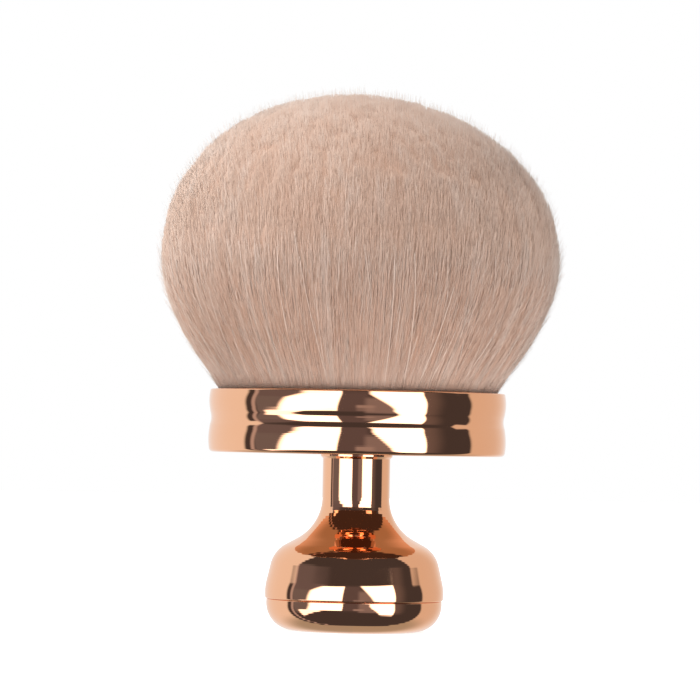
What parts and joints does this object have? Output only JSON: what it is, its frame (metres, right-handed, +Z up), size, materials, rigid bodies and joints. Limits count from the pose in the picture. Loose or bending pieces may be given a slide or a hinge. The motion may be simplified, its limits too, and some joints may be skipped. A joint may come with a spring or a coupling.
{
  "type": "kabuki makeup brush",
  "caption": "Short kabuki makeup brush: a wide domed fibre tuft in a grooved rose-gold collar, on a flared neck and a weighted knob that it stands on.",
  "frame": {"origin": "middle of the flat foot under the base cap", "axes": "+Z up along the brush's axis, from the foot to the crown of the tuft; +X to the right and -Y towards the viewer of the picture"},
  "size_m": [0.065, 0.065, 0.087],
  "materials": {
    "plated_moulding": "polished",
    "plated_collar": "polished",
    "steel": "satin",
    "brass": "satin",
    "cup_plastic": "matte",
    "resin": "gloss",
    "thread": "matte",
    "fibre": "matte"
  },
  "bodies": {
    "handle": {"base_cap": "plated_moulding", "handle_shell": "plated_moulding", "ferrule_shell": "plated_collar", "base_weight": "steel", "draw_screw": "steel", "lock_washer": "steel", "insert_nut": "brass", "tuft_cup": "cup_plastic", "glue_bed": "resin", "root_binding": "thread"},
    "tuft": {"bristle_tuft": "fibre"}
  },
  "joints": [
    {"name": "tuft_sway", "type": "hinge", "parent": "handle", "child": "tuft", "pos_m": [0, 0, 0.0388], "axis": [0, 1, 0], "range_deg": [-20, 20], "stiffness_Nm_per_rad": 0.12, "deforming": ["bristle_tuft"]}
  ]
}
